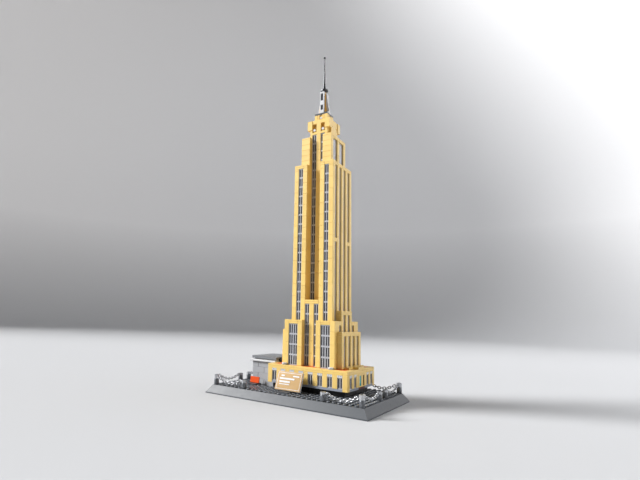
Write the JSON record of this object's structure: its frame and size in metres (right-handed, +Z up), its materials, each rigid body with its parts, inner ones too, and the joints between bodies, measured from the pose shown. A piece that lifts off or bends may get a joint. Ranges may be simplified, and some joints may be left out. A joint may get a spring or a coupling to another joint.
{
  "type": "miniature landmark model",
  "caption": "Stepped tower built from stud-jointed bricks on a sloped base with a podium, annex, tilting name plaque and a chain fence on round posts.",
  "frame": {"origin": "middle of the base's underside", "axes": "+Z up the tower, +X to the right seen from the front with the plaque, -Y the front"},
  "size_m": [0.272, 0.176, 0.5937],
  "materials": {
    "dark_grey_plastic": "smooth moulded, glossy",
    "mid_grey_plastic": "smooth moulded, glossy",
    "black_plastic": "smooth moulded, glossy",
    "tan_plastic": "smooth moulded, glossy",
    "light_grey_plastic": "smooth moulded, glossy",
    "orange_plastic": "smooth moulded, glossy",
    "white_plastic": "smooth moulded, glossy",
    "dark_glazing": "smooth moulded, glossy",
    "grey_glazing": "smooth moulded, glossy",
    "brown_plastic": "smooth moulded, glossy",
    "teal_plastic": "smooth moulded, glossy",
    "gold_tan_plastic": "smooth moulded, glossy",
    "silver_plastic": "smooth moulded, glossy",
    "mast_grey_plastic": "smooth moulded, glossy"
  },
  "bodies": {
    "tower_and_base": {"annex_roof": "white_plastic", "annex_roof_link": "dark_grey_plastic", "annex_walls": "light_grey_plastic", "base_underframe": "mid_grey_plastic", "chain_rings": "silver_plastic", "crown_dots": "white_plastic", "crown_trim": "tan_plastic", "crown_walls": "tan_plastic", "deck_plates": "dark_grey_plastic", "doorway_surround": "tan_plastic", "doorway_trim": "brown_plastic", "fence_posts": "dark_grey_plastic", "framed_window_panes": "dark_glazing", "lantern": "mast_grey_plastic", "long_slopes": "mid_grey_plastic", "lower_block_walls": "tan_plastic", "lower_window_frames": "light_grey_plastic", "mast": "mast_grey_plastic", "plaque_bracket": "dark_grey_plastic", "plinth_bricks": "black_plastic", "podium_cornice": "tan_plastic", "podium_floor": "light_grey_plastic", "podium_lintels": "light_grey_plastic", "podium_piers": "tan_plastic", "podium_pillars": "tan_plastic", "podium_roof": "orange_plastic", "podium_window_frames": "light_grey_plastic", "podium_window_panes": "dark_glazing", "recess_walls": "tan_plastic", "recess_window_frames": "light_grey_plastic", "roof_platforms": "tan_plastic", "roof_round_tiles": "white_plastic", "shaft_caps": "tan_plastic", "shaft_piers": "tan_plastic", "shaft_window_frames": "light_grey_plastic", "side_block_walls": "tan_plastic", "side_slopes": "mid_grey_plastic", "side_window_panes": "grey_glazing", "spire_core": "tan_plastic", "spire_panels": "white_plastic", "spire_plates": "dark_grey_plastic", "spire_windows": "dark_glazing", "tile_sign": "orange_plastic", "tile_sign_stand": "dark_grey_plastic", "top_block": "tan_plastic", "tower_core": "tan_plastic", "upper_walls": "tan_plastic"},
    "plaque": {"plaque_panel": "white_plastic", "plaque_face": "gold_tan_plastic", "plaque_relief": "white_plastic"},
    "door": {"door_leaf": "teal_plastic"},
    "chain_front_left": {"chain_front_left": "silver_plastic"},
    "chain_front_right": {"chain_front_right": "silver_plastic"},
    "chain_back_left": {"chain_back_left": "silver_plastic"},
    "chain_back_right": {"chain_back_right": "silver_plastic"},
    "chain_right_front": {"chain_right_front": "silver_plastic"},
    "chain_right_back": {"chain_right_back": "silver_plastic"},
    "chain_left_front": {"chain_left_front": "silver_plastic"},
    "chain_left_back": {"chain_left_back": "silver_plastic"}
  },
  "joints": [
    {"name": "plaque_tilt", "type": "hinge", "parent": "tower_and_base", "child": "plaque", "pos_m": [0, -0.055, 0.0158], "axis": [1, 0, 0], "range_deg": [-12, 21]},
    {"name": "door_swing", "type": "hinge", "parent": "tower_and_base", "child": "door", "pos_m": [0.0864, 0.00614, 0.0336], "axis": [0, 0, -1], "range_deg": [0, 95]},
    {"name": "chain_front_left_swing", "type": "hinge", "parent": "tower_and_base", "child": "chain_front_left", "pos_m": [-0.1174, -0.076, 0.024], "axis": [1, 0, 0], "range_deg": [-22, 22]},
    {"name": "chain_front_right_swing", "type": "hinge", "parent": "tower_and_base", "child": "chain_front_right", "pos_m": [0.0746, -0.076, 0.024], "axis": [1, 0, 0], "range_deg": [-22, 22]},
    {"name": "chain_back_left_swing", "type": "hinge", "parent": "tower_and_base", "child": "chain_back_left", "pos_m": [-0.1174, 0.076, 0.024], "axis": [1, 0, 0], "range_deg": [-22, 22]},
    {"name": "chain_back_right_swing", "type": "hinge", "parent": "tower_and_base", "child": "chain_back_right", "pos_m": [0.0746, 0.076, 0.024], "axis": [1, 0, 0], "range_deg": [-22, 22]},
    {"name": "chain_right_front_swing", "type": "hinge", "parent": "tower_and_base", "child": "chain_right_front", "pos_m": [0.124, -0.0694, 0.0272], "axis": [0, 0.998, -0.0629], "range_deg": [-22, 22]},
    {"name": "chain_right_back_swing", "type": "hinge", "parent": "tower_and_base", "child": "chain_right_back", "pos_m": [0.124, 0.0694, 0.0272], "axis": [0, -0.998, -0.0629], "range_deg": [-22, 22]},
    {"name": "chain_left_front_swing", "type": "hinge", "parent": "tower_and_base", "child": "chain_left_front", "pos_m": [-0.124, -0.0694, 0.0272], "axis": [0, 0.998, -0.0629], "range_deg": [-22, 22]},
    {"name": "chain_left_back_swing", "type": "hinge", "parent": "tower_and_base", "child": "chain_left_back", "pos_m": [-0.124, 0.0694, 0.0272], "axis": [0, -0.998, -0.0629], "range_deg": [-22, 22]}
  ]
}
